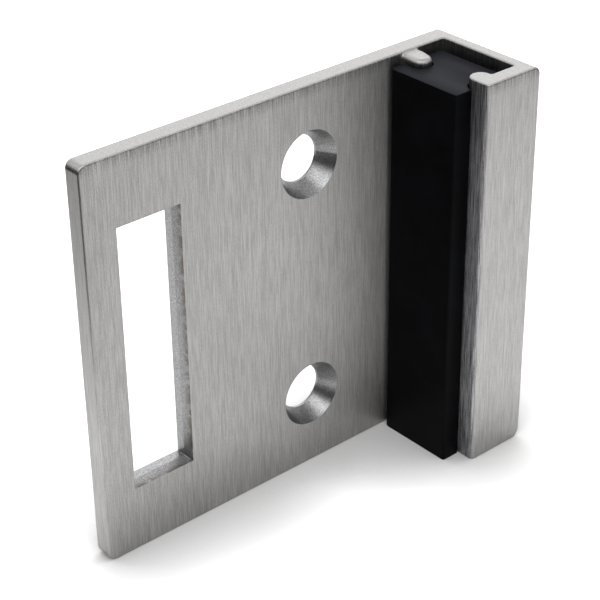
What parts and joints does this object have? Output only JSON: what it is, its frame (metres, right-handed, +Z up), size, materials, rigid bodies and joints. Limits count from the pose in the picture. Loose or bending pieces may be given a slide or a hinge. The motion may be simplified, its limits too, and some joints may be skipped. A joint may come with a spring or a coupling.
{
  "type": "door strike plate",
  "caption": "Flat door strike plate with a tall latch slot and countersunk fixing holes; one end turns into a channel that grips a black rubber door buffer.",
  "frame": {"origin": "on the back face of the plate, midway between the two fixing holes", "axes": "+X towards the channel and buffer, +Y out of the back face into the door frame, +Z up along the latch slot"},
  "size_m": [0.0814, 0.0242, 0.0762],
  "materials": {
    "satin_steel": "satin, brushed along its height",
    "black_rubber": "matt"
  },
  "bodies": {
    "root": {"strike_plate": "satin_steel", "rubber_buffer": "black_rubber"}
  },
  "joints": []
}
